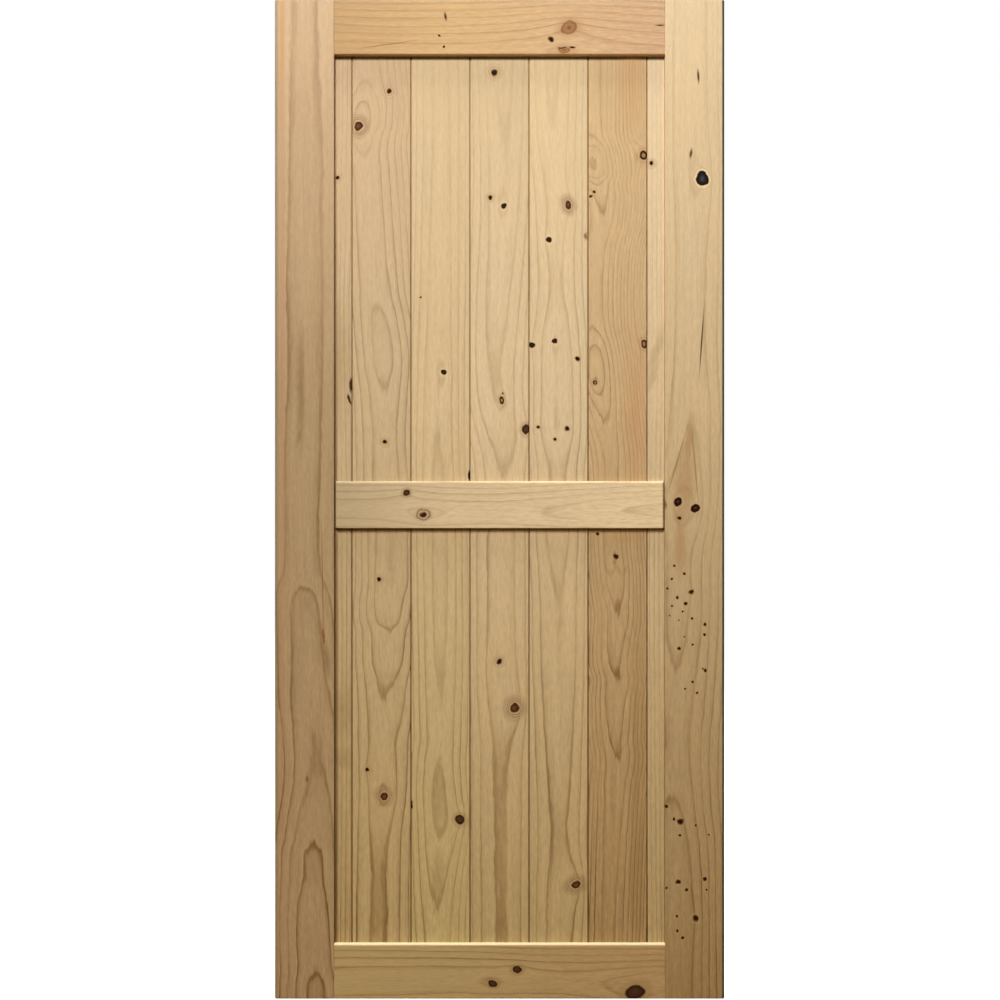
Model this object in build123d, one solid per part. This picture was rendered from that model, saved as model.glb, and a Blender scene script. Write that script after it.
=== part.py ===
from build123d import *
import os

# A sliding barn door leaf of knotty pine, with one mid rail on each face.
# Units are millimetres. +X runs to the right seen from the front, the front faces -Y and
# +Z is up. The origin lies on the top edge of the leaf, at its middle.

# Overall size of the leaf: 36 by 80 inches, 1 3/8 inches thick
leaf_width = 914.4
leaf_height = 2032.0
leaf_thickness = 34.9

# Frame timber
stile_width = 120.65
top_rail_width = 111.1
bottom_rail_width = 111.1
edge_round = 3.0
joint_ease = 1.0

# Groove that the frame has on its inner edges, and the tongues and boards that sit in it
groove_depth = 10.0
groove_side_clearance = 0.2
tenon_end_gap = 0.4
plank_engagement = 9.4

# Boards that fill the frame, tongued and grooved, with a V at each joint on both faces
plank_thickness = 13.0
plank_pitch = 120.65
least_edge_strip = 25.0
shoulder_gap = 0.8
vee_leg = 2.0
tongue_length = 6.0
tongue_thickness = 4.2
tongue_clearance = 0.15

# Mid rail, planted on the boards of each face
mid_rail_width = 95.3
mid_rail_thickness = 9.5
mid_rail_end_gap = 2.6
mid_rail_below_middle = 11.0
mid_rail_round = 4.0
mid_rail_lower_round = 1.0

# Sizes that follow from those above
half_width = leaf_width / 2
half_thickness = leaf_thickness / 2
opening_half = half_width - stile_width
opening_top = -top_rail_width
opening_bottom = -leaf_height + bottom_rail_width
groove_width = plank_thickness + 2 * groove_side_clearance
mid_rail_centre_drop = leaf_height / 2 + mid_rail_below_middle

# As many whole boards as the opening takes, with a ripped strip at each side of them
whole_plank_count = int(2 * (opening_half - least_edge_strip) // plank_pitch)
field_half = whole_plank_count * plank_pitch / 2


def frame_section(width):
    """Cross-section of a frame member in XY: its grooved inner edge is at x = 0, the rest at x < 0."""
    outline = Polyline(
        (0, -half_thickness),
        (0, -groove_width / 2),
        (-groove_depth, -groove_width / 2),
        (-groove_depth, groove_width / 2),
        (0, groove_width / 2),
        (0, half_thickness),
        (-width, half_thickness),
        (-width, -half_thickness),
        close=True,
    )
    section = make_face(outline)
    corners = section.vertices()
    outer = [v for v in corners if abs(v.X + width) < 0.01]
    section = fillet(outer, edge_round)
    inner = [
        v
        for v in section.vertices()
        if abs(v.X) < 0.01 and abs(abs(v.Y) - half_thickness) < 0.01
    ]
    return chamfer(inner, joint_ease)


def round_cut_ends(member):
    """Eases the four arrises where the ends of an upright member meet its two faces."""
    ends = member.edges().filter_by(Axis.X)
    faces = [e for e in ends if abs(abs(e.center().Y) - half_thickness) < 0.01]
    return fillet(faces, edge_round)


def stile(side):
    """Upright frame member; side is -1 for the left one and 1 for the right one."""
    upright = extrude(frame_section(stile_width), leaf_height)
    upright = round_cut_ends(upright)
    if side > 0:
        upright = Rot(0, 0, 180) * upright
    return Pos(side * opening_half, 0, -leaf_height) * upright


def tenon_block(height):
    """Bar as long as the opening plus a stub tenon at each end, as thick as the groove allows."""
    length = 2 * (opening_half + groove_depth - tenon_end_gap)
    return Box(length, plank_thickness, height)


def rail(width, is_top):
    """Cross member of the frame between the stiles, with stub tenons in their grooves."""
    bar = extrude(frame_section(width), 2 * opening_half)
    # The section's inner edge (+X) turns to face down on the top rail and up on the bottom rail
    bar = Rot(0, 90, 0) * bar if is_top else Rot(0, -90, 0) * bar
    shift = -opening_half if is_top else opening_half
    bar = Pos(shift, 0, opening_top if is_top else opening_bottom) * bar
    ends = bar.edges().filter_by(Axis.Z)
    shoulders = [
        e
        for e in ends
        if abs(abs(e.center().X) - opening_half) < 0.01
        and abs(abs(e.center().Y) - half_thickness) < 0.01
    ]
    bar = chamfer(shoulders, joint_ease)
    tenon_height = width - groove_depth
    centre = -tenon_height / 2 if is_top else -leaf_height + tenon_height / 2
    return bar + Pos(0, 0, centre) * tenon_block(tenon_height)


def plank_section(left, right, has_groove, has_tongue):
    """Cross-section of one board in XY between two shoulder lines."""
    face = plank_thickness / 2
    tongue = tongue_thickness / 2
    slot = tongue + tongue_clearance
    slot_depth = tongue_length + tongue_clearance
    points = []
    if has_groove:
        points += [
            (left + vee_leg, -face),
            (left, -face + vee_leg),
            (left, -slot),
            (left + slot_depth, -slot),
            (left + slot_depth, slot),
            (left, slot),
            (left, face - vee_leg),
            (left + vee_leg, face),
        ]
    else:
        points += [(left, -face), (left, face)]
    if has_tongue:
        points += [
            (right - vee_leg, face),
            (right, face - vee_leg),
            (right, tongue),
            (right + tongue_length - tongue_clearance, tongue),
            (right + tongue_length - tongue_clearance, -tongue),
            (right, -tongue),
            (right, -face + vee_leg),
            (right - vee_leg, -face),
        ]
    else:
        points += [(right, face), (right, -face)]
    return make_face(Polyline(*points, close=True))


def plank(index):
    """Board number index, counted from 1 at the left. The first and last are ripped to fit."""
    line = -field_half + (index - 1) * plank_pitch
    is_first = index == 1
    is_last = index == whole_plank_count + 2
    left = -opening_half - plank_engagement if is_first else line - plank_pitch + shoulder_gap / 2
    right = opening_half + plank_engagement if is_last else line - shoulder_gap / 2
    section = plank_section(left, right, not is_first, not is_last)
    bottom = opening_bottom - plank_engagement
    top = opening_top + plank_engagement
    return Pos(0, 0, bottom) * extrude(section, top - bottom)


def mid_rail(side):
    """Planted rail; side is -1 on the front face and 1 on the back face."""
    length = 2 * (opening_half - mid_rail_end_gap)
    bar = Box(length, mid_rail_thickness, mid_rail_width)
    centre = side * (plank_thickness + mid_rail_thickness) / 2
    bar = Pos(0, centre, -mid_rail_centre_drop) * bar
    shown = side * (plank_thickness / 2 + mid_rail_thickness)
    rim = [e for e in bar.edges() if abs(e.center().Y - shown) < 0.01]
    lowest = min(rim, key=lambda e: e.center().Z)
    bar = fillet([lowest], mid_rail_lower_round)
    rest = [
        e
        for e in bar.edges()
        if abs(e.center().Y - shown) < 0.01 and e.center().Z > lowest.center().Z + 2 * mid_rail_lower_round
    ]
    return fillet(rest, mid_rail_round)


parts = {
    "left_stile": stile(-1),
    "right_stile": stile(1),
    "top_rail": rail(top_rail_width, True),
    "bottom_rail": rail(bottom_rail_width, False),
    "front_mid_rail": mid_rail(-1),
    "back_mid_rail": mid_rail(1),
}
for number in range(1, whole_plank_count + 3):
    parts[f"plank_{number}"] = plank(number)

os.makedirs("parts", exist_ok=True)
for name, shape in parts.items():
    export_step(shape, f"parts/{name}.step")
    print(name, "volume", round(shape.volume), "mm3")
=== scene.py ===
# %% [markdown]
# # A barn door leaf of knotty pine
# The leaf is a frame of two stiles and two rails round seven upright boards, with a mid rail
# planted on each face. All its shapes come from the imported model, so this script gives the
# timber its finish, and sets the light and the camera. Blender's lengths are in metres, and the
# patterns in the timber are given in millimetres.

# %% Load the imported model
import math

import bpy
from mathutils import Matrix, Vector


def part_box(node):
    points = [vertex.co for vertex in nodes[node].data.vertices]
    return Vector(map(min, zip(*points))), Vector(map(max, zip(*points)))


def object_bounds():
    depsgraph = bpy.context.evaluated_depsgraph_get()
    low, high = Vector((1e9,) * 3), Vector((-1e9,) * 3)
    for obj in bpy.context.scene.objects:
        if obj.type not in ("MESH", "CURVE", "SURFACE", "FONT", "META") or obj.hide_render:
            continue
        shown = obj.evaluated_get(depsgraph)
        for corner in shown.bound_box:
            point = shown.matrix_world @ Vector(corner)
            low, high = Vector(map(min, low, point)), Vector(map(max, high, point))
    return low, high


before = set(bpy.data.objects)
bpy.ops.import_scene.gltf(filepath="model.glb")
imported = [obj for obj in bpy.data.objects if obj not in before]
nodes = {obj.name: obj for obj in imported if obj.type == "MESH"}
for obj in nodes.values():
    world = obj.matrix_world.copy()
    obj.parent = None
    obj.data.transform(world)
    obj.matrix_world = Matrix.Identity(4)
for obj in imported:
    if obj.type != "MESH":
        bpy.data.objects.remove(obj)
cad_low, cad_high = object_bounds()
print(len(nodes), "pieces, in a box from", tuple(cad_low), "to", tuple(cad_high))

# %% [markdown]
# ## Camera
# The leaf is seen square on, from half its height. A longer lens from further off would hide
# the rails' inner edges, so the distance is set by how much of those edges shows.

# %% Place the camera
camera_distance = 2.2
view_width = 2.0325
sensor_width = 36.0
camera_right = 0.0008
camera_below_middle = 0.0014

leaf_middle = (cad_low + cad_high) / 2
camera_data = bpy.data.cameras.new("camera")
camera_data.sensor_width = sensor_width
camera_data.lens = sensor_width * camera_distance / view_width
camera = bpy.data.objects.new("camera", camera_data)
camera.location = (
    leaf_middle.x + camera_right,
    cad_low.y - camera_distance,
    leaf_middle.z - camera_below_middle,
)
camera.rotation_euler = (math.radians(90), 0, 0)
bpy.context.scene.collection.objects.link(camera)
bpy.context.scene.camera = camera
print("lens", round(camera_data.lens, 2), "mm")

# %% [markdown]
# ## Adding nodes and colours
# Every material below is a node tree. Writing each node out takes three or four lines, so one
# small function adds a node, sets it up and links it. Colours are written as they look on a
# screen, and a second function turns them into the linear values that Blender mixes.

# %% One function for nodes, one for colours
def add(tree, kind, inputs, output=0, **settings):
    """Adds a shader node and returns one of its outputs, or none with slice(0, 0).

    Each input gets a value or a link, and every other setting goes on the node itself.
    """
    made = tree.nodes.new("ShaderNode" + kind)
    for name, value in settings.items():
        setattr(made, name, value)
    for socket, value in inputs.items():
        if isinstance(value, bpy.types.NodeSocket):
            tree.links.new(value, made.inputs[socket])
        else:
            made.inputs[socket].default_value = value
    return made.outputs[output]


def linear(code, alpha=1.0):
    """The linear colour of an sRGB hex code."""
    shares = [int(code[i : i + 2], 16) / 255 for i in (0, 2, 4)]
    channels = [s / 12.92 if s <= 0.04045 else ((s + 0.055) / 1.055) ** 2.4 for s in shares]
    return (*channels, alpha)


print("the middle grey 808080 is", round(linear("808080")[0], 3), "of full light")

# %% [markdown]
# ## Light and background
# One lamp stands in front of the leaf, above it and to its left. It draws the shadow under each
# rail and beside the left stile, and its light falls off towards the floor. A second one hangs
# high over the leaf. It barely grazes the faces, but it brightens the ledges, such as the top of
# the bottom rail. A third one lights the back. Two weak ones stand beyond the sides and a little
# behind the leaf, so they light its edges and miss its front. A single sun would be simpler, but
# its shadows have hard edges. A warm low fill comes from the world. The background is white to
# the camera and to reflections alone, so it lights nothing.

# %% Light the leaf
scene = bpy.context.scene
scene.view_settings.view_transform = "Standard"

# Places, aims and sizes are in metres.
lamps = {
    "key": {"place": (-0.7, -2.2, 1.15), "aim": (0, 0, leaf_middle.z), "size": 0.9, "watts": 92},
    "ledge": {"place": (0, -0.8, 5.5), "aim": (0, -0.8, 0), "size": 1.0, "watts": 350},
    "back": {"place": (-0.5, 2.6, 0.6), "aim": (0, 0, leaf_middle.z), "size": 1.6, "watts": 60},
    "left": {"place": (-2.6, 1.3, -0.9), "aim": (0, 0, leaf_middle.z), "size": 1.0, "watts": 60},
    "right": {"place": (2.6, 1.3, -0.9), "aim": (0, 0, leaf_middle.z), "size": 1.0, "watts": 60},
}
for name, lamp in lamps.items():
    data = bpy.data.lights.new(name, "AREA")
    data.size = lamp["size"]
    data.energy = lamp["watts"]
    light = bpy.data.objects.new(name, data)
    light.location = lamp["place"]
    aim = Vector(lamp["aim"]) - light.location
    light.rotation_euler = aim.to_track_quat("-Z", "Y").to_euler()
    scene.collection.objects.link(light)
print(len(lamps), "lamps")

# %% Fill the shadows a little and show a white background
fill_colour = linear("ffe2b4")
fill_strength = 0.02
white = (1, 1, 1, 1)
world = bpy.data.worlds.new("studio")
scene.world = world
world.use_nodes = True
tree = world.node_tree
tree.nodes.clear()
rays = add(tree, "LightPath", {}).node.outputs
fill = add(tree, "Background", {"Color": fill_colour, "Strength": fill_strength})
backdrop = add(tree, "Background", {"Color": white, "Strength": 1.0})
seen = add(tree, "Math", {0: rays["Is Camera Ray"], 1: rays["Is Glossy Ray"]}, operation="MAXIMUM")
seen = add(tree, "Math", {0: seen, 1: rays["Is Transmission Ray"]}, operation="MAXIMUM")
shown = add(tree, "MixShader", {0: seen, 1: fill, 2: backdrop})
add(tree, "OutputWorld", {"Surface": shown}, output=slice(0, 0))
print("fill of strength", fill_strength)

# %% [markdown]
# ## Floor
# The floor is plain matt white. To the camera it is pale paint with a glow, so that it comes
# close to the white background and still keeps the leaf's shadow. White paint alone would throw
# too much light back on the leaf, so to all other rays the floor is a darker, warmer paint.

# %% Lay the floor
floor_size = 12.0
floor_glow = 0.93
pale_paint = linear("d8d4ce")
warm_paint = linear("a58a5e")
bpy.ops.object.select_all(action="DESELECT")
bpy.ops.mesh.primitive_plane_add(size=floor_size, location=(0, 0, cad_low.z))
floor = bpy.context.object
floor.name = "floor"
bpy.ops.object.transform_apply(location=True, rotation=False, scale=False)
floor_paint = bpy.data.materials.new("matt_white_floor")
floor_paint.use_nodes = True
tree = floor_paint.node_tree
tree.nodes.clear()
rays = add(tree, "LightPath", {}).node.outputs
warm = add(tree, "BsdfDiffuse", {"Color": warm_paint})
paint = add(tree, "BsdfDiffuse", {"Color": pale_paint})
glow = add(tree, "Emission", {"Color": white, "Strength": floor_glow})
lit = add(tree, "AddShader", {0: paint, 1: glow})
seen = add(tree, "Math", {0: rays["Is Camera Ray"], 1: rays["Is Glossy Ray"]}, operation="MAXIMUM")
shown = add(tree, "MixShader", {0: seen, 1: warm, 2: lit})
add(tree, "OutputMaterial", {"Surface": shown}, output=slice(0, 0))
floor.data.materials.append(floor_paint)
print("floor at", round(cad_low.z, 3))

# %% [markdown]
# ## How a pine board gets its figure
# A board is a slice out of a log, so its figure is worked out as one: a point's ring number is
# its distance from the heart of the log, divided by the ring spacing. Where the heart comes
# nearer to the face or goes deeper, the rings close into the pointed arches of flat-sawn pine.
# An image would only paint one face. Here the same sum also gives the back, edges and ends.

# %% Find a point's place in its board
mm = 1000.0
face_of_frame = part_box("left_stile")[0].y * mm
face_of_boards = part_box("plank_2")[0].y * mm


def board_place(tree, board):
    """Where a point lies in its board in mm, as a vector: across it, in its depth and along it."""
    spot = add(tree, "TexCoord", {}, output="Object")
    if board["lies"]:
        moves = {"Scale": (mm, mm, mm), "Rotation": (0, math.radians(-90), 0)}
    else:
        moves = {"Scale": (mm, mm, -mm)}
    return add(tree, "Mapping", {"Vector": spot, "Location": (-board["middle"], 0, 0), **moves})


print("the frame's face is at", round(face_of_frame, 2), "mm, the boards' at", round(face_of_boards, 2), "mm")

# %% Measure how far a board runs
leaf_half_width = cad_high.x * mm
leaf_height = -cad_low.z * mm


def board_ends(board):
    """Where a board starts and ends in mm: from left to right if it lies, or else downwards."""
    return (-leaf_half_width, leaf_half_width) if board["lies"] else (0.0, leaf_height)


print("half the leaf's width is", round(leaf_half_width, 1), "mm, its height", round(leaf_height, 1), "mm")

# %% Follow the heart of the log along the board
heart_reach = 200.0
most_rings = 20.0
curve_middle = 0.5


def heart_line(tree, board, along):
    """How far across the heart of the log lies, in mm, and how many rings behind the face."""
    start, end = board_ends(board)
    heart = board["heart"]
    share = add(tree, "MapRange", {"Value": along, "From Min": start, "From Max": end})
    curved = add(tree, "RGBCurve", {"Color": share})
    curves = curved.node.mapping.curves
    columns = ((curves[0], 1, heart_reach, curve_middle), (curves[1], 2, most_rings, 0))
    for curve, column, span, base in columns:
        spots = [((point[0] - start) / (end - start), point[column] / span + base) for point in heart]
        curve.points[0].location = spots[0]
        curve.points[1].location = spots[-1]
        for spot in spots[1:-1]:
            curve.points.new(*spot)
        for point in curve.points:
            point.handle_type = "AUTO_CLAMPED"
    curved.node.mapping.update()
    parts = add(tree, "SeparateColor", {"Color": curved}).node
    shift = -heart_reach * curve_middle
    across = add(tree, "Math", {0: parts.outputs[0], 1: heart_reach, 2: shift}, operation="MULTIPLY_ADD")
    rings = add(tree, "Math", {0: parts.outputs[1], 1: most_rings}, operation="MULTIPLY")
    return across, rings


print("the heart may lie", heart_reach / 2, "mm off a board's middle and", most_rings, "rings deep")

# %% Count the growth rings
# No trunk is quite straight or round, so the rings drift in three sizes. Each has a width and a
# length in mm, and a level of detail.
drifts = {"wander": (70.0, 420.0, 1.0), "waver": (16.0, 120.0, 2.0), "ripple": (6.0, 34.0, 2.0)}


def ring_count(tree, board, place):
    """The number of growth rings between the heart of the log and a point of the board."""
    parts = add(tree, "SeparateXYZ", {"Vector": place}).node
    across, depth, along = parts.outputs
    heart_across, heart_rings = heart_line(tree, board, along)
    sideways = add(tree, "Math", {0: across, 1: heart_across}, operation="SUBTRACT")
    behind = add(tree, "Math", {0: depth, 1: board["face"]}, operation="SUBTRACT")
    inwards = add(tree, "Math", {0: heart_rings, 1: -board["ring"], 2: behind}, operation="MULTIPLY_ADD")
    spoke = add(tree, "CombineXYZ", {0: sideways, 1: inwards})
    radius = add(tree, "VectorMath", {0: spoke}, output="Value", operation="LENGTH")
    rings = add(tree, "Math", {0: radius, 1: board["ring"]}, operation="DIVIDE")
    for name, (width, length, detail) in drifts.items():
        size, shift = (1 / width, 1 / width, 1 / length), (board["seed"], 0, 0)
        spot = add(tree, "VectorMath", {0: place, 1: size, 2: shift}, operation="MULTIPLY_ADD")
        drift = add(tree, "TexNoise", {"Vector": spot, "Scale": 1.0, "Detail": detail}, normalize=False)
        rings = add(tree, "Math", {0: drift, 1: board[name], 2: rings}, operation="MULTIPLY_ADD")
    return rings


print("the rings drift as", ", ".join(drifts))

# %% [markdown]
# ## Knots
# A knot is the foot of a branch. It cuts through the board as a dark oval, and the rings of the
# trunk bend round it. Each knot here is placed one by one, in mm across and along its board, with
# its half width, half length and tilt. The distance to it, counted in its own radii, colours it
# through a ramp, and the same centre pulls the ring number down, so that the rings flow round.
# Knots could be cut as plugs of their own, but the real ones are flush and grown in. Stains,
# cracks, a worn grey edge, painted shadows, painted shade and a painted highlight are placed in
# the same way. A swirl or a dent only bends the rings and has no colour of its own.

# %% The sorts of knot, from the middle out, as (radii, colour, how much it covers)
# A live knot has grown together with the trunk and shows rings of its own. A dead one is held in
# by a dark rim of bark. Pins and eyes are the feet of twigs.
sorts = {
    # The grey middle of the black knot is a painted glint of its glossy resin.
    "black": [
        (0.0, "4d4a4c", 1.0), (0.35, "2e2a30", 1.0), (0.7, "17100f", 1.0), (0.88, "1c0a04", 1.0),
        (0.97, "4a2f18", 0.9), (1.04, "e9d2a6", 0.7), (1.25, "eed9b2", 0.45), (1.34, "b08d60", 0.4),
        (1.5, "ddc398", 0.2), (2.2, "b99a70", 0.0),
    ],
    "dead": [
        (0.0, "3f2618", 1.0), (0.4, "27150c", 1.0), (0.68, "140905", 1.0), (0.8, "2f1a0d", 1.0),
        (0.93, "7f5a38", 0.75), (1.1, "d2b283", 0.45), (1.45, "ead6ac", 0.2), (2.0, "ead6ac", 0.0),
    ],
    "live": [
        (0.0, "6c482e", 1.0), (0.4, "583821", 1.0), (0.66, "34200f", 1.0), (0.82, "503418", 0.95),
        (0.95, "a67f54", 0.7), (1.1, "cbad84", 0.55), (1.28, "6b4826", 0.75), (1.45, "b0916c", 0.5),
        (1.7, "7d5a34", 0.55), (1.95, "b0926f", 0.4), (2.2, "87633b", 0.32), (2.5, "a88a66", 0.18),
        (3.0, "b0926f", 0.0),
    ],
    "target": [
        (0.0, "2e170c", 1.0), (0.4, "3a1f10", 1.0), (0.52, "7c5834", 0.85), (0.64, "a98960", 0.5),
        (0.8, "9c7850", 0.5), (0.94, "4f3418", 0.85), (1.07, "8a6a42", 0.5), (1.25, "b0916c", 0.25),
        (1.6, "b0916c", 0.0),
    ],
    "ringed": [
        (0.0, "b3895a", 0.95), (0.32, "8f673d", 0.95), (0.52, "3a2210", 1.0), (0.76, "241207", 1.0),
        (0.92, "6a4826", 0.8), (1.1, "cfae7c", 0.4), (1.35, "8c663c", 0.4), (1.7, "a98055", 0.2),
        (2.5, "a98055", 0.0),
    ],
    "bark": [
        (0.0, "533723", 1.0), (0.5, "472e1b", 1.0), (0.78, "34200f", 1.0), (0.9, "2a170a", 1.0),
        (1.0, "6e4e2c", 0.85), (1.15, "a8875c", 0.45), (1.5, "8f6f46", 0.3), (2.1, "8f6f46", 0.0),
    ],
    "red": [
        (0.0, "684228", 1.0), (0.25, "4a2814", 1.0), (0.42, "240e06", 1.0), (0.78, "1c0a05", 1.0),
        (0.93, "4f3018", 0.9), (1.06, "c6a680", 0.6), (1.35, "ccae8a", 0.35), (2.0, "b08a5c", 0.0),
    ],
    "brown": [
        (0.0, "6e431f", 0.9), (0.22, "784d2a", 0.88), (0.4, "916640", 0.85), (0.7, "8c6239", 0.85),
        (0.93, "744a24", 0.88), (1.08, "a47a4e", 0.5), (1.5, "a98055", 0.28), (2.2, "a98055", 0.0),
    ],
    "pin": [
        (0.0, "1d0e05", 1.0), (0.65, "2c1708", 1.0), (0.95, "66431f", 0.8), (1.2, "a27c4c", 0.4),
        (1.5, "d8bb8a", 0.25), (2.1, "a27c4c", 0.0),
    ],
    "eye": [
        (0.0, "1d0e05", 1.0), (0.7, "2c1708", 1.0), (1.0, "74512d", 0.8), (1.35, "d2b587", 0.45),
        (1.75, "86653c", 0.45), (2.2, "d8bd90", 0.3), (2.6, "8f6f48", 0.25), (3.0, "8f6f48", 0.0),
    ],
}
print(len(sorts), "sorts of knot")

# %% The sorts of mark: slits, cracks, stains, wear, painted shade and a painted highlight
# A pocket is a slit that held resin, a check is a drying crack, a thread is one dark fibre and a
# vein is the dark side of a ring. Painted shadows lie beside the left stile and under the rails.
# An arris is worn grey, or painted dark all along as painted shade, or painted light as a painted
# highlight, and the top arris of the leaf is darkened with painted shade.
marks = {
    "pocket": [(0.0, "140a04", 1.0), (0.75, "1c0f06", 1.0), (1.0, "4a321a", 0.6), (1.35, "4a321a", 0.0)],
    "stain": [(0.0, "7d6240", 0.6), (0.6, "7d6240", 0.42), (1.4, "7d6240", 0.0)],
    "blush": [(0.0, "c4905f", 0.4), (0.5, "c4905f", 0.28), (1.5, "c4905f", 0.0)],
    "flame": [(0.0, "a87c50", 0.5), (0.6, "a87c50", 0.4), (1.3, "a87c50", 0.0)],
    "vein": [(0.0, "8a6238", 0.65), (0.5, "8a6238", 0.5), (1.0, "8a6238", 0.0)],
    "shade": [(0.0, "8f7040", 0.3), (0.7, "8f7040", 0.22), (1.4, "8f7040", 0.0)],
    "grey": [(0.0, "756e5c", 0.55), (0.6, "756e5c", 0.4), (1.0, "756e5c", 0.0)],
    "check": [(0.0, "2a190c", 1.0), (0.6, "3c2614", 0.9), (1.0, "6b4a2a", 0.5), (1.5, "6b4a2a", 0.0)],
    "thread": [(0.0, "83552a", 0.8), (0.5, "83552a", 0.65), (1.0, "83552a", 0.0)],
    "resin": [(0.0, "bf8a48", 0.6), (0.4, "bf8a48", 0.45), (1.5, "bf8a48", 0.0)],
    # Painted shadow, cast by the left stile on the board beside it.
    "painted_stile_shadow": [(0.0, "60411e", 0.75), (0.4, "60411e", 0.6), (1.0, "684823", 0.0)],
    # Painted shadow: a thin dark line on the boards under a rail.
    "painted_rail_shadow": [(0.0, "1e1407", 0.85), (0.35, "241808", 0.7), (1.0, "4a3216", 0.0)],
    # Painted shade that darkens the top arris of the leaf.
    "painted_edge_shade": [(0.0, "4c3c26", 0.8), (0.6, "4c3c26", 0.6), (1.0, "4c3c26", 0.0)],
    # A painted highlight along the top arris of the bottom rail.
    "painted_ledge_highlight": [(0.0, "f4e4b8", 0.75), (0.7, "f4e4b8", 0.6), (1.0, "f4e4b8", 0.0)],
    # Painted shade all along the right stile's outer arris.
    "painted_arris_shade": [(0.0, "1c180f", 0.95), (0.75, "2a2418", 0.9), (1.1, "2a2418", 0.0)],
    "pink": [(0.0, "b4805e", 0.5), (0.5, "b4805e", 0.35), (1.5, "b4805e", 0.0)],
}
sorts.update(marks)
print(len(marks), "sorts of mark")

# %% Bend the rings round the knots
# The pull of a sort is how many rings it takes off at its centre, for each ring spacing in its
# half width. A pin knot smaller than the least pull leaves the rings alone.
pull_of_sort = {
    "black": 1.0, "dead": 1.0, "bark": 1.2, "live": 1.4, "ringed": 1.4, "red": 1.0, "brown": 1.4,
    "pin": 0.5, "eye": 0.7, "target": 1.0, "swirl": 1.3, "dent": -0.6,
}
least_pull = 4.0
pull_reach = 1.7
pull_margin = 2.0
pull_stretch = 2.3
through = 1e6


def bend_rings(tree, board, place, rings):
    """The ring number, lowered near each knot so that the rings close round it."""
    for sort, across, along, half_width, _, _ in board["knots"]:
        if sort not in pull_of_sort or half_width < least_pull:
            continue
        reach = pull_reach * half_width + pull_margin
        bounds = {"Location": (across, 0, along), "Scale": (reach, through, reach * pull_stretch)}
        spot = add(tree, "Mapping", {"Vector": place, **bounds}, vector_type="TEXTURE")
        distance = add(tree, "VectorMath", {0: spot}, output="Value", operation="LENGTH")
        fade = add(tree, "Math", {0: 1 / math.e, 1: distance}, operation="POWER")
        amount = pull_of_sort[sort] * half_width / board["ring"]
        rings = add(tree, "Math", {0: fade, 1: -amount, 2: rings}, operation="MULTIPLY_ADD")
    return rings


print("a knot 10 mm in half width bends the rings over", pull_reach * 10 + pull_margin, "mm")

# %% Shake a point, so that outlines come out ragged
outline_width = 15.0
outline_shake = 2.4
outline_noise = {"Scale": 1.0, "Detail": 3.0, "Roughness": 0.45}


def shaken_place(tree, place):
    """The place in the board, pushed about by a few mm, for knots that aren't clean ovals."""
    spot = add(tree, "VectorMath", {0: place, 1: (1 / outline_width,) * 3}, operation="MULTIPLY")
    shake = add(tree, "TexNoise", {"Vector": spot, **outline_noise}, output="Color", normalize=False)
    return add(tree, "VectorMath", {0: shake, 1: (outline_shake,) * 3, 2: place}, operation="MULTIPLY_ADD")


print("outlines are shaken by about", outline_shake, "mm")

# %% Measure how near each knot is
# The straight sorts keep their clean outline. The round sorts take their half width all round.
# The face sorts stay close to the face, and the others run through the whole board.
round_sorts = ("pin", "eye")
straight_sorts = (
    "check", "thread", "vein", "resin", "pink", "blush", "flame",
    "grey", "painted_stile_shadow", "painted_rail_shadow", "painted_edge_shade", "painted_ledge_highlight", "painted_arris_shade",
)
face_sorts = ("painted_arris_shade", "painted_edge_shade")
edge_depth = 7.0


def nearest_knots(tree, board, place, shaken):
    """For each sort, the distance to its nearest knot on this board, in that knot's own radii."""
    nearest = {}
    flat = add(tree, "VectorMath", {0: shaken, 1: (1, 0, 1)}, operation="MULTIPLY")
    for sort, across, along, half_width, half_length, tilt in board["knots"]:
        if sort not in sorts:
            continue
        if sort in round_sorts:
            centre = (across, 0, along)
            distance = add(tree, "VectorMath", {0: flat, 1: centre}, output="Value", operation="DISTANCE")
            distance = add(tree, "Math", {0: distance, 1: half_width}, operation="DIVIDE")
        else:
            depth, reach = (board["face"], edge_depth) if sort in face_sorts else (0, through)
            bounds = {
                "Vector": place if sort in straight_sorts else shaken,
                "Location": (across, depth, along),
                "Rotation": (0, math.radians(tilt if board["lies"] else -tilt), 0),
                "Scale": (half_width, reach, half_length),
            }
            spot = add(tree, "Mapping", bounds, vector_type="TEXTURE")
            distance = add(tree, "VectorMath", {0: spot}, output="Value", operation="LENGTH")
        if sort in nearest:
            distance = add(tree, "Math", {0: distance, 1: nearest[sort]}, operation="MINIMUM")
        nearest[sort] = distance
    return nearest


print("marks on the face fade out", edge_depth, "mm deep")

# %% [markdown]
# ## Planed pine
# The timber is pine, planed and left bare. It grows a broad pale band in spring and a thin dark
# one in late summer, and the dark one ends sharply where winter stops it. So the ramp over one
# ring climbs slowly and drops at once. Planing gives the eye a satin surface, with fine fibres
# that follow the rings. Fibres are a tenth of a millimetre wide, too fine to show here, so the
# streaks are drawn 3 mm wide.

# %% Draw the fibres along the rings
streak_width = 3.0
streak_length = 260.0
streak_across = 0.35
streak_noise = {"Scale": 1.0, "Detail": 3.0, "Roughness": 0.6}


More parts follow.
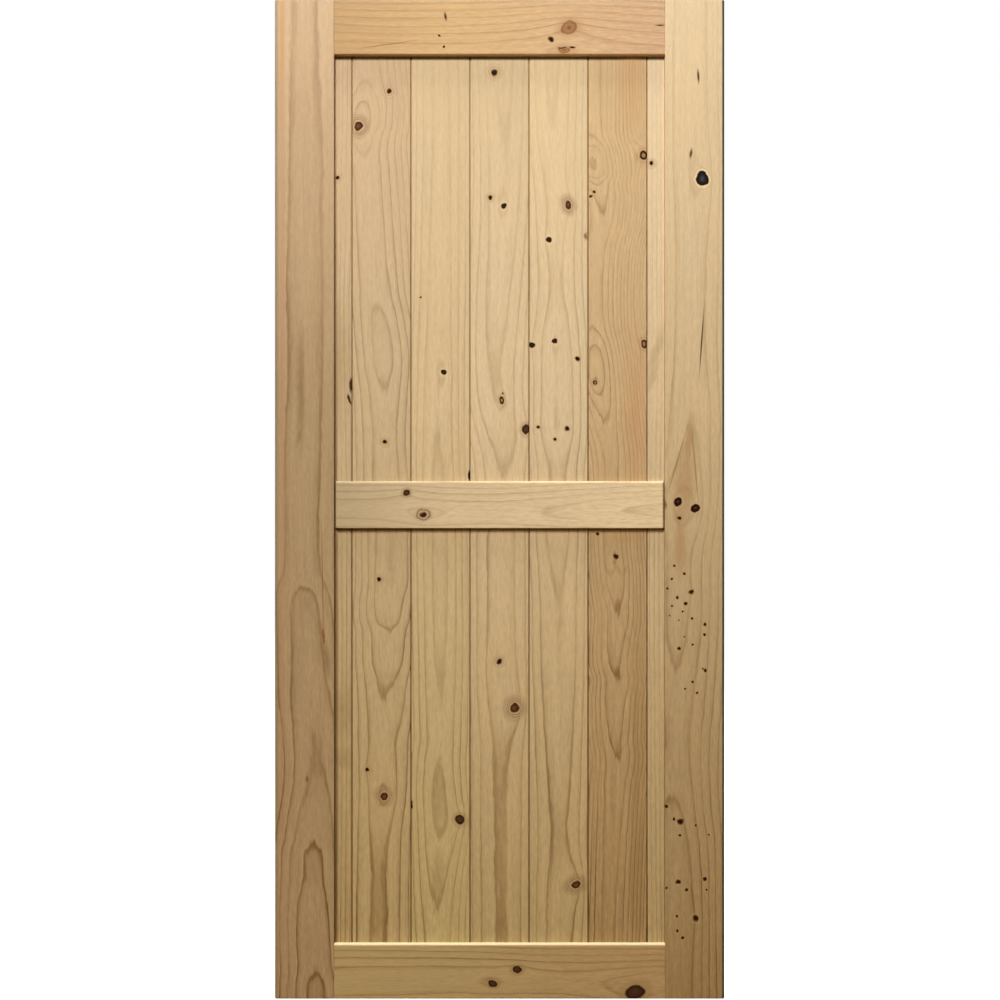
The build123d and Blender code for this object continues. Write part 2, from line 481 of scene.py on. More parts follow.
def fibre_streaks(tree, board, rings, across, along):
    """Long soft streaks that follow the rings, as levels round 0."""
    by_ring = add(tree, "Math", {0: rings, 1: board["ring"] / streak_width}, operation="MULTIPLY")
    by_width = add(tree, "Math", {0: across, 1: streak_across / streak_width}, operation="MULTIPLY")
    by_length = add(tree, "Math", {0: along, 1: 1 / streak_length}, operation="MULTIPLY")
    spot = add(tree, "CombineXYZ", {0: by_ring, 1: by_width, 2: by_length})
    return add(tree, "TexNoise", {"Vector": spot, **streak_noise}, normalize=False)


print("streaks of", streak_width, "by", streak_length, "mm")

# %% Spread soft blotches
blotch_width = 55.0
blotch_length = 240.0
blotch_noise = {"Scale": 1.0, "Detail": 2.0}


def soft_blotches(tree, board, place):
    """Soft patches about a hand wide, from 0 to 1, in which the rings are stronger or weaker."""
    size = (1 / blotch_width, 1 / blotch_width, 1 / blotch_length)
    spot = add(tree, "VectorMath", {0: place, 1: size, 2: (0, board["seed"], 0)}, operation="MULTIPLY_ADD")
    return add(tree, "TexNoise", {"Vector": spot, **blotch_noise})


print("blotches of", blotch_width, "by", blotch_length, "mm")

# %% Fill the stops of a colour ramp
new_stop = 0.5


def set_stops(ramp, stops):
    """Gives a colour ramp its stops, as (place, colour with alpha)."""
    elements = ramp.node.color_ramp.elements
    while len(elements) < len(stops):
        elements.new(new_stop)
    # Blender sorts the stops as they move, so all have their place before they get a colour.
    for element, (place, _) in zip(elements, stops):
        element.position = place
    for element, (place, colour) in zip(elements, stops):
        element.position = place
        element.color = colour


print("a stop is added at", new_stop, "and then moved to its place")

# %% Darken the late wood of each ring
ring_steps = [(0.0, 0.3), (0.05, 0.0), (0.55, 0.04), (0.8, 0.3), (0.9, 0.9), (0.96, 1.0), (1.0, 0.3)]
least_strength = 0.55
strength_span = 0.45
blotch_levels = (0.3, 0.7)
fade_levels = (0.55, 1.35)


def late_wood(tree, rings, blotch):
    """How much late wood a point holds. It differs from ring to ring and from patch to patch."""
    share = add(tree, "Math", {0: rings}, operation="FRACT")
    number = add(tree, "Math", {0: rings}, operation="FLOOR")
    luck = add(tree, "TexWhiteNoise", {"W": number}, noise_dimensions="1D")
    strength = add(tree, "Math", {0: luck, 1: strength_span, 2: least_strength}, operation="MULTIPLY_ADD")
    patch = {"Value": blotch, "From Min": blotch_levels[0], "From Max": blotch_levels[1]}
    fade = add(tree, "MapRange", {**patch, "To Min": fade_levels[0], "To Max": fade_levels[1]})
    late = add(tree, "ValToRGB", {"Fac": share})
    set_stops(late, [(spot, (level, level, level, 1)) for spot, level in ring_steps])
    late = add(tree, "Math", {0: late, 1: strength}, operation="MULTIPLY")
    return add(tree, "Math", {0: late, 1: fade}, operation="MULTIPLY")


print("late wood is from", least_strength, "to", least_strength + strength_span, "of full strength")

# %% Scatter short flecks
fleck_width = 2.8
fleck_length = 18.0
fleck_noise = {"Scale": 1.0, "Detail": 2.0, "Roughness": 0.6}


def short_flecks(tree, place):
    """Short dashes, as levels round 0, where planing has cut fibres off."""
    size = (1 / fleck_width, 1 / fleck_width, 1 / fleck_length)
    spot = add(tree, "VectorMath", {0: place, 1: size}, operation="MULTIPLY")
    return add(tree, "TexNoise", {"Vector": spot, **fleck_noise}, normalize=False)


print("flecks of", fleck_width, "by", fleck_length, "mm")

# %% Colour the timber and its rings
# Each board has three tones, at its start, at four tenths of its run and at its end. A Mix node
# has its colours in sockets 6 and 7 and gives the mixed colour at output 2.
# Where a board's tones grow darker towards its foot, part of that is painted shade, for light that falls off
# towards the floor more than the lamps make it.
tones_of_pine = {
    "cream": "dfcaa8", "butter": "eed9b0", "pale": "dac49e", "sand": "d3bc94", "biscuit": "ccb086",
    "apricot": "cca988", "wheat": "c7b18c", "hay": "c7b47e", "straw": "c3ad7c", "honey": "c2a376",
    "flax": "bda572", "bronze": "b4986a", "rosy": "c0a584", "tan": "b39a74", "russet": "ad9571",
    "oak": "ac9266", "ash": "a89876", "umber": "a88860",
}
tone_stops = (0.0, 0.4, 1.0)
late_tint = linear("ab9069")
blush_tints = (linear("fffaf4"), linear("fdfdff"))
mixed = {"output": 2, "data_type": "RGBA"}
tinted = {**mixed, "blend_type": "MULTIPLY"}


def ringed_wood(tree, board, low, blotch, late):
    """The colour of the timber with its rings. Low is how far along the board a point is."""
    wood = add(tree, "ValToRGB", {"Fac": low})
    set_stops(wood, [(spot, linear(tones_of_pine[tone])) for spot, tone in zip(tone_stops, board["tones"])])
    blush = add(tree, "Mix", {"Factor": blotch, 6: blush_tints[0], 7: blush_tints[1]}, **mixed)
    wood = add(tree, "Mix", {"Factor": 1.0, 6: wood, 7: blush}, **tinted)
    faint, strong = board["contrast"]
    contrast = add(tree, "MapRange", {"Value": low, "To Min": faint, "To Max": strong})
    cover = add(tree, "Math", {0: late, 1: contrast}, operation="MULTIPLY")
    return add(tree, "Mix", {"Factor": cover, 6: wood, 7: late_tint}, **tinted)


print(len(tones_of_pine), "tones of pine")

# %% [markdown]
# ## Joints and edges
# The slopes of the V joints and the sides of the frame are darker than the faces, most of all
# low down. This is painted shade in these recesses. They could have a material of their own, but
# then their faces would have to be picked out one by one. A point's depth below the face of its
# board is known everywhere, so the painted shade comes in with that depth.

# %% Tint the edges that lie behind the face
# The two colours are the tints at the top and at the foot, and white changes nothing.
groove_edges = ("c8aa80", "74502a")
faint_edges = ("fff2da", "74502a")
clean_edges = ("ffffff", "ffffff")
edge_darkening = 0.7
arris_depths = (0.8, 2.2)


def tinted_edges(tree, board, low, depth, wood):
    """The wood, darkened by painted shade where it lies deeper than the face."""
    from_middle = add(tree, "Math", {0: depth}, operation="ABSOLUTE")
    near, deep = [-board["face"] - arris_depth for arris_depth in arris_depths]
    sunk = add(tree, "MapRange", {"Value": from_middle, "From Min": near, "From Max": deep})
    top_edge, foot_edge = [linear(code) for code in board["edges"]]
    lower = add(tree, "Math", {0: low, 1: edge_darkening}, operation="POWER")
    # The painted shade of the recesses, from its colour at the top to its colour at the foot.
    painted_edge_shade = add(tree, "Mix", {"Factor": lower, 6: top_edge, 7: foot_edge}, **mixed)
    return add(tree, "Mix", {"Factor": sunk, 6: wood, 7: painted_edge_shade}, **tinted)


print("edges are tinted from", arris_depths[0], "mm below the face")

# %% Lay the streaks and flecks over the wood
grain_levels = (0.55, 1.1)
fleck_amount = 0.12


def streaked_wood(tree, board, low, fibre, fleck, wood):
    """The wood, lightened and darkened by its fibres, more so towards the end of the board."""
    grain = add(tree, "MapRange", {"Value": low, "To Min": grain_levels[0], "To Max": grain_levels[1]})
    streaked = add(tree, "Math", {0: grain, 1: board["streak"]}, operation="MULTIPLY")
    flecked = add(tree, "Math", {0: grain, 1: fleck_amount}, operation="MULTIPLY")
    level = add(tree, "Math", {0: fibre, 1: streaked, 2: 1.0}, operation="MULTIPLY_ADD")
    level = add(tree, "Math", {0: fleck, 1: flecked, 2: level}, operation="MULTIPLY_ADD")
    return add(tree, "Mix", {"Factor": 1.0, 6: wood, 7: level}, **tinted)


print("flecks change the wood by up to", fleck_amount)

# %% Paint the knots and marks
ramp_radii = 3.0


def knotted_wood(tree, board, place, shaken, wood):
    """The wood with its knots and marks, sort by sort, in the order in which the board names them."""
    for sort, distance in nearest_knots(tree, board, place, shaken).items():
        part_way = add(tree, "Math", {0: distance, 1: 1 / ramp_radii}, operation="MULTIPLY")
        painted = add(tree, "ValToRGB", {"Fac": part_way})
        set_stops(painted, [(radii / ramp_radii, linear(code, cover)) for radii, code, cover in sorts[sort]])
        wood = add(tree, "Mix", {"Factor": painted.node.outputs["Alpha"], 6: wood, 7: painted}, **mixed)
    return wood


print("knots are painted out to", ramp_radii, "of their own radii")

# %% [markdown]
# ## The planed surface
# Wood has an IOR of about 1.5 and, planed and bare, a roughness near 0.6. Its open fibres scatter
# most of the mirror light, so the specular level is low. Late wood is denser and planes smoother.
# The waves that a plane leaves could be modelled, but that takes very many faces, so they are a
# bump. They are a few hundredths of a millimetre deep, too little to show, and drawn 0.15 mm deep.

# %% Plane the surface
plane_width = 4.0
plane_length = 120.0
plane_noise = {"Scale": 1.0, "Detail": 2.0}
relief = 0.00015
wood_ior = 1.5
wood_specular = 0.04
early_roughness = 0.58
late_smoothing = -0.12


def planed_surface(tree, place, late, wood):
    """The shader of bare planed pine, with the low waves that a plane leaves."""
    size = (1 / plane_width, 1 / plane_width, 1 / plane_length)
    spot = add(tree, "VectorMath", {0: place, 1: size}, operation="MULTIPLY")
    height = add(tree, "TexNoise", {"Vector": spot, **plane_noise})
    bumped = add(tree, "Bump", {"Height": height, "Distance": relief, "Strength": 1.0})
    roughness = add(tree, "Math", {0: late, 1: late_smoothing, 2: early_roughness}, operation="MULTIPLY_ADD")
    gloss = {"Roughness": roughness, "IOR": wood_ior, "Specular IOR Level": wood_specular}
    surface = add(tree, "BsdfPrincipled", {"Base Color": wood, **gloss, "Normal": bumped})
    add(tree, "OutputMaterial", {"Surface": surface}, output=slice(0, 0))


print("the plane leaves waves of", relief * mm, "mm")


# %% Put a pine board together
def pine(name, board):
    """The material of one board: planed, unfinished pine with its own figure and knots."""
    material = bpy.data.materials.new("planed_pine_" + name)
    material.use_nodes = True
    tree = material.node_tree
    tree.nodes.clear()
    place = board_place(tree, board)
    shaken = shaken_place(tree, place)
    rings = bend_rings(tree, board, place, ring_count(tree, board, place))
    across, depth, along = add(tree, "SeparateXYZ", {"Vector": place}).node.outputs
    fibre = fibre_streaks(tree, board, rings, across, along)
    blotch = soft_blotches(tree, board, place)
    late = late_wood(tree, rings, blotch)
    fleck = short_flecks(tree, place)
    start, end = board_ends(board)
    low = add(tree, "MapRange", {"Value": along, "From Min": start, "From Max": end})
    wood = ringed_wood(tree, board, low, blotch, late)
    wood = tinted_edges(tree, board, low, depth, wood)
    wood = streaked_wood(tree, board, low, fibre, fleck, wood)
    wood = knotted_wood(tree, board, place, shaken, wood)
    planed_surface(tree, place, late, wood)
    return material


# %% [markdown]
# ## Writing a board down
# A board is a dictionary. It says whether the board lies across, where its middle line and its
# face are in mm, and how far apart its rings are. Then come its tones, the tints of its edges,
# how dark its late wood is at both ends, and how strong its streaks and drifts are. The seed
# moves its patterns, so that no two boards share them. The heart is a list of points: the place
# along the board, how far across the heart lies there, and how many rings it is behind the face.
# A whole number there closes a ring into the tip of an arch. The knots are a list of sort, place
# across, place along, half width, half length and tilt.

# %% Start the list of boards
endless = 20000
boards = {}


def tell(name):
    """Prints what a board is made up of."""
    board = boards[name]
    print(name, "has", len(board["heart"]), "points on its heart,", len(board["knots"]), "knots and marks")


print("a mark that runs on past its board is", endless, "mm long")

# %% [markdown]
# ## The stiles
# The stiles are the leaf's two outer uprights. Both are flat-sawn from fast-grown trees, so
# their rings are far apart. The left one is pinker, with an orange streak near its outer edge
# and arches that point up. The right one carries the largest knot and a swarm of pin knots.
# Random knots would be quicker, but a door is known by its own, so each is listed one by one.

# %% The left stile
boards["left_stile"] = {
    "lies": False,
    "middle": -396.9,
    "face": face_of_frame,
    "ring": 14.0,
    "tones": ("rosy", "russet", "tan"),
    "edges": ("d4c4a8", "a89068"),
    "contrast": (0.4, 0.85),
    "streak": 0.10,
    "wander": 0.25,
    "waver": 0.06,
    "ripple": 0.05,
    "seed": 3.1,
    "heart": [
        (0, 2, 6.6), (600, 4, 6.55), (1000, -3, 6.4), (1158, -6, 6.3), (1187, -6, 6.0),
        (1214, -4, 5.64), (1330, 6, 5.45), (1440, 16, 5.12), (1476, 22, 5.0), (1578, 28, 4.77),
        (1690, 21, 4.1), (1714, 19, 4.0), (1723, 17, 3.91), (1738, 17, 3.78), (1790, 17, 3.7),
        (1830, 17, 3.48), (1912, 20, 3.26), (1966, 22, 3.2), (1979, 23, 3.12), (1990, 23, 2.98),
        (2003, 23, 2.86), (2032, 23, 2.78),
    ],
    "knots": [
        ("stain", -7, 790, 8, 112, 0), ("stain", -10, 886, 6, 20, 12), ("brown", 38, 1294, 2.4, 15, -4),
        ("stain", 45, 1340, 7, 36, -8), ("thread", 37, 1180, 1.4, 150, -1), ("brown", 5, 1584, 3, 6, 0),
        # The top arris is darkened with painted shade.
        ("grey", -60, 1016, 9, 3000, 0), ("painted_edge_shade", 0, 0, 200, 2.6, 0), ("dent", 3, 1786, 4.2, 5, 0),
        ("resin", -45.5, 70, 5, 170, 0), ("pink", -45, 900, 5, 900, 0),
    ],
}
tell("left_stile")

# %% The right stile
boards["right_stile"] = {
    "lies": False,
    "middle": 396.9,
    "face": face_of_frame,
    "ring": 12.0,
    "tones": ("pale", "sand", "oak"),
    "edges": ("e0d4bc", "c8b898"),
    "contrast": (0.12, 0.8),
    "streak": 0.08,
    "wander": 0.25,
    "waver": 0.06,
    "ripple": 0.05,
    "seed": 7.7,
    "heart": [
        (0, -10, 6.4), (500, -6, 6.4), (700, -8, 6.35), (851, -9, 6.0), (916, -13, 5.91),
        (1028, -27, 5.25), (1140, -34, 5.7), (1237, -35, 5.66), (1298, -36, 5.75), (1332, -36, 5.93),
        (1360, -36, 6.05), (1420, -36, 6.38), (1507, -40, 6.55), (1629, -45, 6.0), (1733, -42, 5.44),
        (2032, -42, 5.2),
    ],
    "knots": [
        # The black knot has a painted glint in its middle.
        ("black", 15, 364, 13.2, 15.4, 0), ("flame", -12, 905, 8, 56, 5),
        ("flame", -22, 990, 22, 76, 6), ("flame", -30, 1112, 13, 62, 0),
        # Painted shade darkens the outer arris all along, and the top arris too.
        ("painted_arris_shade", 60.3, 1016, 5.2, endless, 0), ("painted_edge_shade", 0, 0, 200, 2.6, 0),
        ("check", 7, 156, 2.2, 13, -4), ("check", -8, 313, 2.4, 9, 8), ("check", 14, 693, 1.4, 60, 4),
        ("vein", -36, 939, 2.3, 92, 16.6), ("vein", 0, 945, 2.0, 92, -5),
        ("red", -34.5, 1021, 8.8, 10.6, 0), ("red", 1, 1034, 9.8, 7.4, -35),
        ("eye", -32, 1054.5, 4.0, 5, 0), ("brown", -61, 1027, 2.6, 9, 0), ("pin", -41, 1151, 2.8, 3, 0),
        ("pin", -22, 1167, 2.8, 5, 0), ("pin", -48, 1178, 2.6, 4, 15), ("pin", -56, 1198, 2.6, 4.2, 0),
        ("pin", -7, 1205, 4.8, 4.8, 0), ("pin", -36, 1216, 3.2, 3.2, 0), ("pin", -19, 1228, 3.6, 3, 0),
        ("pin", -46, 1233, 2.2, 2.6, 0), ("pin", -25, 1244, 2, 2, 0), ("pin", -5, 1258, 2.6, 2.6, 0),
        ("pin", -50, 1252, 1.8, 2, 0), ("pin", -32, 1262, 1.8, 2, 0), ("pin", 20, 1270, 3.5, 3.5, 0),
        ("pin", 20, 1291, 3.2, 3.4, 0), ("pin", -32, 1319, 3.2, 3.6, 0), ("pin", -5, 1310, 2.4, 2.4, 0),
        ("pin", -21, 1295, 1.8, 2.4, 0), ("pin", 21, 1364, 3.6, 3.4, 0), ("pin", 16, 1360, 2, 2, 0),
        ("pin", -5, 1388, 2.6, 2.4, 0), ("pin", -20, 1402, 2, 1.8, 0), ("pin", 5, 1409, 2.4, 2, 0),
        ("pin", -30, 1671, 6, 6.5, 0), ("pin", -42, 1666, 3, 2.6, 0), ("pin", -30, 1698, 2.6, 2.6, 0),
        ("pin", -59, 1641, 4, 5, 0), ("pin", 2, 1678, 2.4, 6, -5), ("pin", 28, 1697, 2, 3, 0),
        ("pin", -34, 1793, 5, 5.5, 0), ("pin", -57, 1806, 2.4, 4.4, 0), ("pin", -17, 1809, 3.4, 3.4, 0),
        ("pin", 20, 1788, 4.6, 4.6, 0), ("pin", 23, 1810, 2.2, 2, 0), ("pin", -36, 1863, 3, 3, 0),
        ("pin", 2, 1868, 6.2, 5.8, 0), ("pin", -36, 1893, 3, 2.8, 0), ("pin", -26, 1907, 3.2, 3.2, 0),
    ],
}
tell("right_stile")

# %% [markdown]
# ## The rails
# The rails lie across, so their figure is turned by a quarter. The mid rail is the palest of
# the three, and its arches point to the left. Both mid rails could have a board of their own,
# but the back one can't be seen in the reference, so it takes the front one's.

# %% The top rail
boards["top_rail"] = {
    "lies": True,
    "middle": 55.5,
    "face": face_of_frame,
    "ring": 12.0,
    "tones": ("umber", "honey", "apricot"),
    "edges": clean_edges,
    "contrast": (0.35, 0.4),
    "streak": 0.10,
    "wander": 0.3,
    "waver": 0.06,
    "ripple": 0.05,
    "seed": 11.3,
    "heart": [(-457, 60, 5.2), (-150, 66, 5.4), (150, 62, 5.3), (457, 66, 5.6)],
    "knots": [
        ("brown", 2, 141, 12.5, 16.5, -20), ("pin", 25.5, 104, 5.4, 5, 0),
        ("brown", 47, 131, 6.5, 11.5, -4), ("pocket", 40.8, 148.5, 2.2, 7, 6),
        ("pocket", 42.5, 127, 1.2, 8, -14), ("check", -21, -110, 8, 2.6, -10),
        ("pin", 19, -122, 2.6, 3.6, 0), ("pin", 40, -114, 2.4, 4, 0), ("thread", 36, -228, 1.4, 74, -8),
        # Painted shade darkens the top arris.
        ("check", -3, 326, 1.6, 9, 0), ("painted_edge_shade", -55.5, 0, 2.6, endless, 0),
    ],
}
tell("top_rail")

# %% The mid rail, which the back repeats
boards["mid_rail"] = {
    "lies": True,
    "middle": 1027.0,
    "face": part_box("front_mid_rail")[0].y * mm,
    "ring": 8.5,
    "tones": ("ash", "pale", "butter"),
    "edges": clean_edges,
    "contrast": (0.4, 0.3),
    "streak": 0.07,
    "wander": 0.1,
    "waver": 0.06,
    "ripple": 0.05,
    "seed": 15.9,
    "heart": [
        (-457, 8, 5.45), (-250, 10, 5.5), (-100, 16, 5.4), (0, 16, 5.3), (74, 15, 5.0), (249, 12, 4.0),
        (457, 10, 3.2),
    ],
    "knots": [("bark", -24, -189, 6.5, 6.5, 0), ("target", 20.5, -155, 10.6, 14.5, 0)],
}
tell("mid_rail")

# %% The bottom rail
boards["bottom_rail"] = {
    "lies": True,
    "middle": 1976.5,
    "face": face_of_frame,
    "ring": 10.0,
    "tones": ("straw", "straw", "honey"),
    "edges": clean_edges,
    "contrast": (0.55, 0.55),
    "streak": 0.08,
    "wander": 0.35,
    "waver": 0.1,
    "ripple": 0.05,
    "seed": 21.4,
    "heart": [(-457, 20, 5.3), (-100, 16, 5.2), (100, 22, 5.6), (457, 24, 5.4)],
    "knots": [
        ("bark", -5, 36, 7, 9, 0), ("bark", 24, -14, 7, 9, 20), ("bark", 41, 275, 14, 21, -12),
        # A painted highlight lies along the top arris.
        ("swirl", 10, 318, 9, 9, 0), ("painted_ledge_highlight", -55.5, 0, 3.4, endless, 0),
    ],
}
tell("bottom_rail")

# %% [markdown]
# ## The boards
# The boards between the stiles are tongued and grooved. They are mostly pale, with a soft
# figure. The sixth one is warmer, with the strongest lines. Close under the top rail and the mid
# rail, a thin dark line of painted shadow lies on the boards, put on as one more mark. The narrow
# board at the left also carries a painted shadow of the left stile.

# %% The narrow board at the left
# Painted shadows: a thin dark line under the top rail and one under the mid rail.
rail_shadow_lines = [("painted_rail_shadow", 0, 115.5, endless, 5, 0), ("painted_rail_shadow", 0, 1077, endless, 4.5, 0)]
boards["plank_1"] = {
    "lies": False,
    "middle": -319.0,
    "face": face_of_boards,
    "ring": 8.0,
    "tones": ("rosy", "wheat", "flax"),
    "edges": faint_edges,
    "contrast": (0.3, 0.7),
    "streak": 0.12,
    "wander": 0.3,
    "waver": 0.06,
    "ripple": 0.05,
    "seed": 25.2,
    "heart": [(0, 70, 5.0), (700, 60, 5.2), (1300, 66, 5.0), (2032, 60, 5.3)],
    "knots": [
        ("eye", -12, 359, 4.4, 5, 0), ("pocket", 15, 783, 3.2, 14, 0),
        ("pocket", 12.5, 812, 2.4, 10, -14), ("shade", -4, 740, 22, 120, 0),
        # A painted shadow of the left stile lies along this board's left edge, darkest low down.
        ("shade", 0, 1445, 24, 50, 0), ("shade", 0, 1545, 24, 20, 0), ("painted_stile_shadow", -17.5, 1500, 8, 1500, 0),
        *rail_shadow_lines,
    ],
}
tell("plank_1")

# %% The second board
boards["plank_2"] = {
    "lies": False,
    "middle": -241.3,
    "face": face_of_boards,
    "ring": 10.0,
    "tones": ("rosy", "wheat", "straw"),
    "edges": groove_edges,
    "contrast": (0.34, 0.95),
    "streak": 0.08,
    "wander": 0.2,
    "waver": 0.06,
    "ripple": 0.05,
    "seed": 29.5,
    "heart": [
        (0, -36, 5.2), (90, -34, 5.5), (168, -33, 5.0), (232, -34, 4.1), (284, -34, 5.0),
        (345, -28, 5.3), (420, -24, 5.2), (590, -14, 5.0), (650, -6, 4.6), (722, 2, 4.47),
        (795, 5, 5.0), (900, 6, 5.4), (980, 10, 5.2), (1060, 21, 4.92), (1180, 21, 5.0),
        (1225, 15, 5.2), (1262, 13, 5.5), (1287, 13, 6.0), (1344, 11, 6.25), (1385, 10, 6.71),
        (1412, 9, 6.92), (1436, 9, 7.02), (1500, 5, 7.4), (1600, 4, 7.6), (1700, -4, 7.8),
        (2032, -8, 7.8),
    ],
    "knots": [
        *rail_shadow_lines,
        ("live", -47, 254, 9.6, 10.6, 0), ("eye", 16, 182, 5.2, 4.6, 20), ("eye", 7, 899, 4.4, 4.5, 0),
        ("eye", -5, 1180, 4.4, 4.4, 0), ("eye", -28, 1568, 4.4, 4.2, 0), ("live", 5, 1623, 8.5, 9.5, 0),
        ("shade", -7, 1855, 13, 90, 0),
    ],
}
tell("plank_2")

# %% The third board
boards["plank_3"] = {
    "lies": False,
    "middle": -120.65,
    "face": face_of_boards,
    "ring": 9.0,
    "tones": ("wheat", "sand", "hay"),
    "edges": faint_edges,
    "contrast": (0.13, 0.75),
    "streak": 0.07,
    "wander": 0.15,
    "waver": 0.05,
    "ripple": 0.05,
    "seed": 33.8,
    "heart": [
        (0, 2, 5.7), (500, 0, 5.45), (864, -6, 5.0), (1150, -2, 4.6), (1433, 0, 4.97), (1500, 0, 5.12),
        (1560, -4, 5.0), (1620, -4, 4.85), (1685, -2, 5.0), (1841, -7, 6.0), (2032, -5, 6.7),
    ],
    "knots": [
        *rail_shadow_lines,
        ("dead", 7, 756, 5.6, 5.6, 0), ("bark", 39, 1670, 9.4, 9.6, 0), ("pin", -40, 604, 2, 4, 0),
        ("pocket", -59, 1640, 3, 9, 0), ("pocket", 59, 968, 3, 10, 0), ("shade", -5, 1620, 14, 44, 0),
        ("shade", -5, 1782, 11, 42, 0),
    ],
}
tell("plank_3")

# %% The middle board
boards["plank_4"] = {
    "lies": False,
    "middle": 0.0,
    "face": face_of_boards,
    "ring": 10.5,
    "tones": ("wheat", "pale", "straw"),
    "edges": faint_edges,
    "contrast": (0.2, 0.65),
    "streak": 0.07,
    "wander": 0.15,
    "waver": 0.05,
    "ripple": 0.05,
    "seed": 37.1,
    "heart": [
        (0, 10, 4.3), (312, 11, 5.0), (776, -8, 6.0), (977, 11, 7.0), (1030, 8, 7.05), (1100, 4, 6.4),
        (1350, 4, 6.4), (1520, 3, 6.9), (2032, 3, 6.9),
    ],
    "knots": [
        *rail_shadow_lines,
        ("eye", -11, 144, 6.4, 6.2, 0), ("eye", -19, 399, 4.2, 4.4, 0), ("dead", 8, 416, 6, 6, 0),
        ("ringed", 5, 814, 5.5, 9, 0), ("pin", 7, 800, 2, 2.4, 0), ("bark", 53, 873, 8.4, 9.6, 20),
        ("eye", -1, 1347, 5, 4, 0), ("live", 31, 1442, 10.2, 11.6, 0),
    ],
}
tell("plank_4")

# %% The fifth board
boards["plank_5"] = {
    "lies": False,
    "middle": 120.65,
    "face": face_of_boards,
    "ring": 10.0,
    "tones": ("sand", "pale", "straw"),
    "edges": groove_edges,
    "contrast": (0.18, 0.8),
    "streak": 0.07,
    "wander": 0.15,
    "waver": 0.05,
    "ripple": 0.05,
    "seed": 41.6,
    "heart": [
        (0, -13, 4.6), (160, -13, 4.85), (240, -13, 5.0), (400, -8, 5.7), (557, -5, 5.83),
        (700, -3, 5.25), (854, -3, 5.0), (967, -3, 5.72), (1010, -3, 5.7), (1078, -3, 5.46),
        (1160, -2, 5.72), (1221, -1, 5.89), (1283, -1, 5.945), (1339, -1, 6.0), (1430, 0, 6.2),
        (1590, 0, 6.57), (1735, -2, 6.9), (1850, 0, 6.6), (2032, 0, 6.5),
    ],
    "knots": [
        *rail_shadow_lines,
        ("live", 19, 414, 7, 9.5, -15), ("dead", -21, 486, 5.8, 5.8, 0), ("dead", -55, 701, 7, 6.6, 0),
        ("dead", -8, 693, 5.2, 5.2, 0), ("pin", 38, 729, 4, 4, 0), ("pin", -42, 869, 4, 4, 0),
        ("pin", 18, 872, 4.4, 4.4, 0), ("pin", -8, 893, 3.6, 3.4, 0), ("live", 34, 1803, 11, 8.5, -25),
        ("brown", 56, 479, 3, 5, 0),
    ],
}
tell("plank_5")

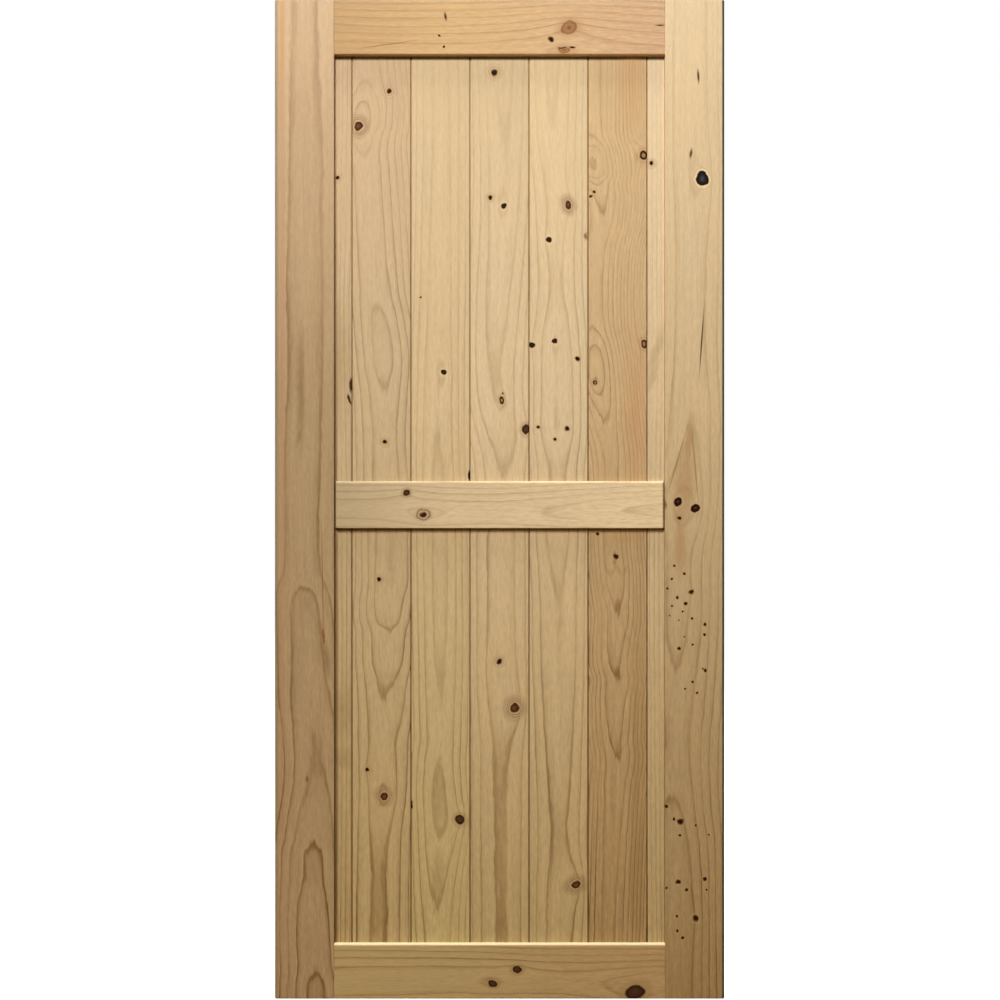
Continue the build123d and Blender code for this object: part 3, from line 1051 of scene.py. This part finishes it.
# %% The sixth board, the warm one
boards["plank_6"] = {
    "lies": False,
    "middle": 241.3,
    "face": face_of_boards,
    "ring": 5.0,
    "tones": ("biscuit", "biscuit", "bronze"),
    "edges": groove_edges,
    "contrast": (0.38, 0.95),
    "streak": 0.13,
    "wander": 0.1,
    "waver": 0.09,
    "ripple": 0.07,
    "seed": 45.3,
    "heart": [
        (0, -48, 10.6), (230, -52, 10.4), (273, -54, 10.0), (331, -50, 8.0), (371, -42, 10.0),
        (422, -32, 11.0), (520, -46, 11.4), (640, -50, 11.2), (662, -50, 11.0), (735, -44, 9.7),
        (800, -34, 10.3), (860, -25, 11.0), (970, -12, 11.6), (1030, -12, 10.2), (1077, -12, 9.35),
        (1117, -11, 9.3), (1160, -7, 9.25), (1190, -5, 9.35), (1214, -3, 9.64), (1231, -2, 9.87),
        (1247, 0, 10.0), (1258, 0, 10.08), (1300, -4, 10.36), (1352, -6, 10.74), (1370, -3, 10.9),
        (1384, 0, 11.0), (1396, -1, 11.06), (1440, -5, 11.35), (1500, -5, 11.75), (1544, 0, 12.0),
        (1600, -6, 12.25), (1750, -14, 12.5), (2032, -22, 12.7),
    ],
    "knots": [
        *rail_shadow_lines,
        ("ringed", 53, 314, 8.5, 10, 0), ("pin", -49, 388, 2.8, 2.6, 0), ("pin", -55, 397, 3.2, 3.6, 0),
        ("ringed", 54, 698, 7.5, 9, 0), ("ringed", -47, 777, 5.5, 5, 0),
        ("pin", -41, 1086, 3.4, 3.4, 0), ("pin", -4, 1133, 5.6, 5.2, 0), ("blush", 16, 1095, 28, 9, 0),
        ("blush", 26, 170, 24, 90, 0), ("shade", -7.8, 1161, 3.2, 14, 18),
        ("shade", 1.9, 1161, 3.2, 14, -20), ("shade", -19.5, 1163, 3.2, 13, -30),
        ("shade", 13.5, 1164, 3.2, 12, 28), ("blush", 34, 850, 20, 160, 0),
        ("swirl", 50, 300, 13, 14, 0), ("vein", 0, 1233, 8, 17, 0), ("vein", -1, 1372, 7, 19, 0),
        ("shade", 42, 1600, 16, 420, 0),
    ],
}
tell("plank_6")

# %% The narrow board at the right
boards["plank_7"] = {
    "lies": False,
    "middle": 319.0,
    "face": face_of_boards,
    "ring": 8.0,
    "tones": ("cream", "pale", "straw"),
    "edges": faint_edges,
    "contrast": (0.2, 0.6),
    "streak": 0.09,
    "wander": 0.3,
    "waver": 0.06,
    "ripple": 0.05,
    "seed": 49.9,
    "heart": [(0, -70, 5.0), (700, -64, 5.3), (1300, -70, 5.1), (2032, -64, 5.4)],
    "knots": [
        ("eye", -9, 330, 4.2, 4.2, 0), ("shade", 1, 715, 9, 46, 20), ("shade", -7, 765, 8, 30, 20),
        *rail_shadow_lines,
    ],
}
tell("plank_7")

# %% [markdown]
# ## Dressing the pieces
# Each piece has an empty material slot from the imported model, and its board goes in there. The
# pieces themselves stay as they are, because their shapes are already finished.

# %% Give each piece its board
for name, board in boards.items():
    material = pine(name, board)
    wearers = ["front_mid_rail", "back_mid_rail"] if name == "mid_rail" else [name]
    for wearer in wearers:
        nodes[wearer].material_slots[0].material = material
    print(name, len(board["knots"]), "knots", len(material.node_tree.nodes), "nodes")
